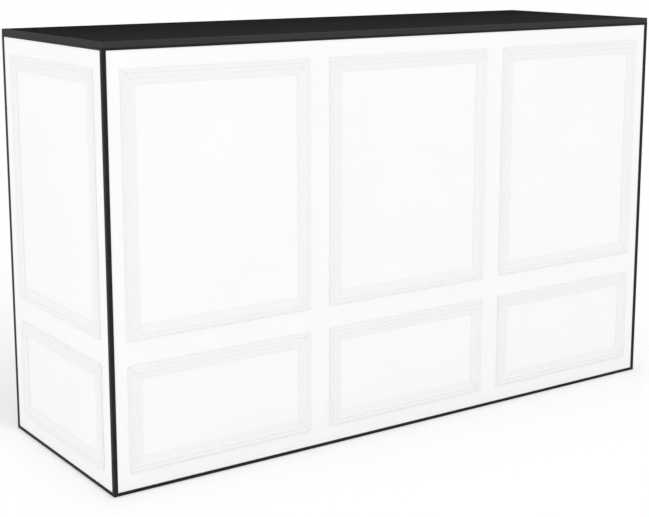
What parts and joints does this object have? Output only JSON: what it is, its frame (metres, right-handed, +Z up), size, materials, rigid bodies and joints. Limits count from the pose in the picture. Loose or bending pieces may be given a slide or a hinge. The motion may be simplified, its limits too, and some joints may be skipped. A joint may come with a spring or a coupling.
{
  "type": "bar counter with shelves",
  "caption": "Straight free-standing bar counter: black edge frame, flat black top, white panels with picture-frame mouldings, and shelves open to the back on levelling feet.",
  "frame": {"origin": "middle of the footprint, on the floor that the bottom rails stand on", "axes": "+X along the counter towards its right end as seen from the customer's side, -Y out of the panelled front, +Z up"},
  "size_m": [1.8096, 0.6048, 1.1],
  "materials": {
    "frame_black": "satin",
    "top_black": "satin",
    "panel_white": "satin",
    "moulding_white": "satin",
    "board_white": "satin",
    "zinc_steel": "satin",
    "foot_black": "matte"
  },
  "bodies": {
    "counter": {"post_front_left": "frame_black", "post_front_right": "frame_black", "post_rear_left": "frame_black", "post_rear_right": "frame_black", "bottom_rail_front": "frame_black", "bottom_rail_rear": "frame_black", "bottom_rail_left": "frame_black", "bottom_rail_right": "frame_black", "top_rail_front": "frame_black", "top_rail_rear": "frame_black", "top_rail_left": "frame_black", "top_rail_right": "frame_black", "front_panel": "panel_white", "left_panel": "panel_white", "right_panel": "panel_white", "front_1_moulding_lower": "moulding_white", "front_1_moulding_upper": "moulding_white", "front_2_moulding_lower": "moulding_white", "front_2_moulding_upper": "moulding_white", "front_3_moulding_lower": "moulding_white", "front_3_moulding_upper": "moulding_white", "left_moulding_lower": "moulding_white", "left_moulding_upper": "moulding_white", "right_moulding_lower": "moulding_white", "right_moulding_upper": "moulding_white", "upright_1": "frame_black", "upright_2": "frame_black", "deck": "board_white", "shelf": "board_white", "shelf_bearer_left": "frame_black", "shelf_bearer_right": "frame_black", "shelf_bearer_front": "frame_black", "shelf_stiffener": "frame_black", "bearer_bolt_front_left": "zinc_steel", "bearer_bolt_front_right": "zinc_steel", "bearer_bolt_rear_left": "zinc_steel", "bearer_bolt_rear_right": "zinc_steel", "bottom_plate_front_left": "frame_black", "bottom_plate_front_right": "frame_black", "bottom_plate_rear_left": "frame_black", "bottom_plate_rear_right": "frame_black", "lock_nut_front_left": "zinc_steel", "lock_nut_front_right": "zinc_steel", "lock_nut_rear_left": "zinc_steel", "lock_nut_rear_right": "zinc_steel", "top_plate_front_left": "frame_black", "top_plate_front_right": "frame_black", "top_plate_rear_left": "frame_black", "top_plate_rear_right": "frame_black", "top_screw_front_left": "zinc_steel", "top_screw_front_right": "zinc_steel", "top_screw_rear_left": "zinc_steel", "top_screw_rear_right": "zinc_steel", "counter_top": "top_black"},
    "foot_front_left": {"levelling_foot_front_left": "foot_black"},
    "foot_front_right": {"levelling_foot_front_right": "foot_black"},
    "foot_rear_left": {"levelling_foot_rear_left": "foot_black"},
    "foot_rear_right": {"levelling_foot_rear_right": "foot_black"}
  },
  "joints": [
    {"name": "level_front_left", "type": "slide", "parent": "counter", "child": "foot_front_left", "axis": [0, 0, -1], "range_m": [0, 0.015]},
    {"name": "level_front_right", "type": "slide", "parent": "counter", "child": "foot_front_right", "axis": [0, 0, -1], "range_m": [0, 0.015]},
    {"name": "level_rear_left", "type": "slide", "parent": "counter", "child": "foot_rear_left", "axis": [0, 0, -1], "range_m": [0, 0.015]},
    {"name": "level_rear_right", "type": "slide", "parent": "counter", "child": "foot_rear_right", "axis": [0, 0, -1], "range_m": [0, 0.015]}
  ]
}
